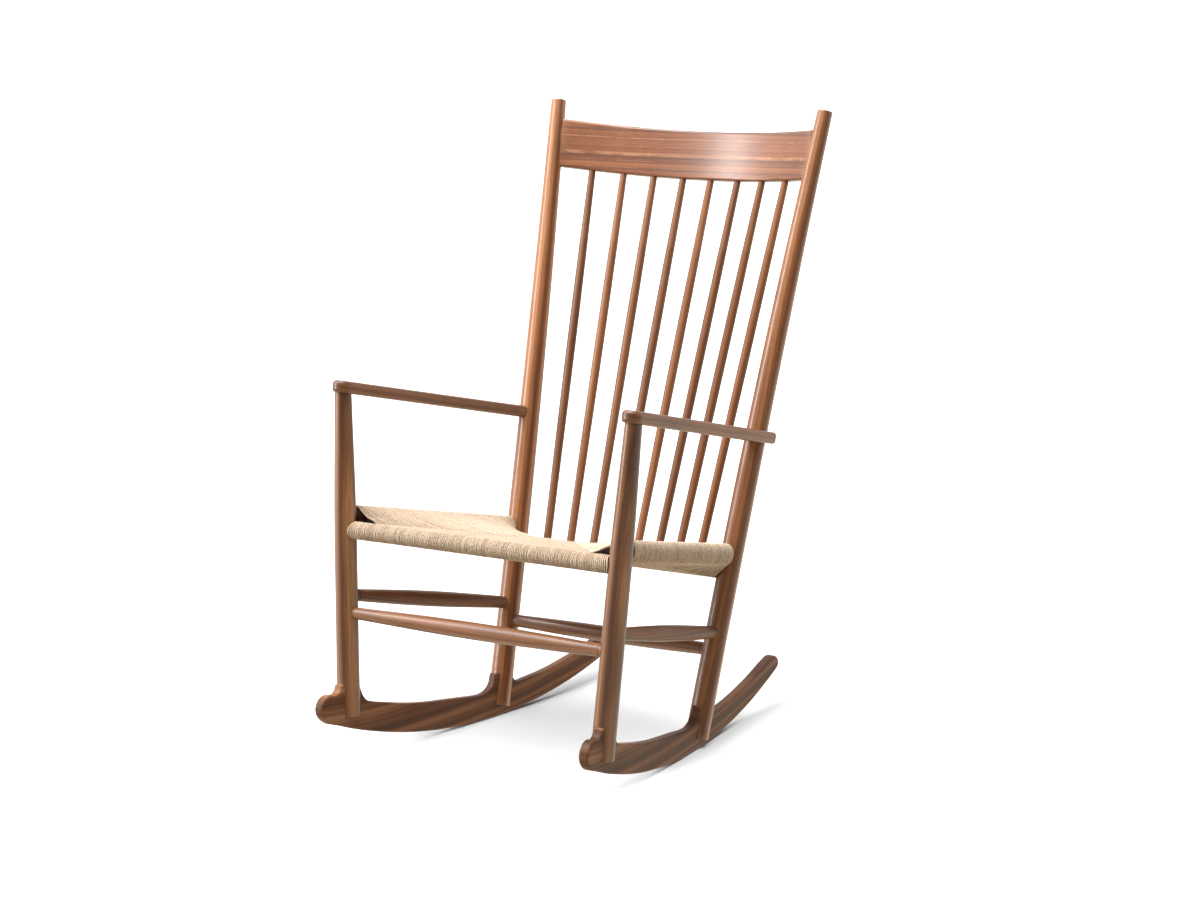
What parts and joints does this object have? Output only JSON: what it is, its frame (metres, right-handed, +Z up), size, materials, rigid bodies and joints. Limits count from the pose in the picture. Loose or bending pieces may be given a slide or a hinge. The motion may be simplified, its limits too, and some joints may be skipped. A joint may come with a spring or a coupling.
{
  "type": "rocking chair",
  "caption": "High-backed wooden rocking chair with round tapered posts, a spindle back under a curved crest, flat arms, curved plank rockers and a woven cord seat.",
  "frame": {"origin": "bottom centre of the bounding box, on the floor between the rockers, with the chair standing at its balance point", "axes": "+Z up, the sitter faces -Y, +X is the sitter's left"},
  "size_m": [0.612, 0.8254, 1.0631],
  "materials": {
    "cord": "matte",
    "walnut_arms": "satin",
    "walnut_crest": "satin",
    "walnut_posts": "satin",
    "walnut_rails": "satin",
    "walnut_rockers": "satin",
    "walnut_spindles": "satin",
    "walnut_stretchers": "satin"
  },
  "bodies": {
    "root": {"left_rocker": "walnut_rockers", "right_rocker": "walnut_rockers", "front_stretcher": "walnut_stretchers", "rear_stretcher": "walnut_stretchers", "left_stretcher": "walnut_stretchers", "right_stretcher": "walnut_stretchers", "front_seat_rail": "walnut_rails", "rear_seat_rail": "walnut_rails", "left_seat_rail": "walnut_rails", "right_seat_rail": "walnut_rails", "crest_rail": "walnut_crest", "spindle_1": "walnut_spindles", "spindle_2": "walnut_spindles", "spindle_3": "walnut_spindles", "spindle_4": "walnut_spindles", "spindle_5": "walnut_spindles", "spindle_6": "walnut_spindles", "spindle_7": "walnut_spindles", "spindle_8": "walnut_spindles", "left_rear_post": "walnut_posts", "right_rear_post": "walnut_posts", "left_front_post": "walnut_posts", "right_front_post": "walnut_posts", "left_arm": "walnut_arms", "right_arm": "walnut_arms", "seat_weave": "cord"}
  },
  "joints": []
}
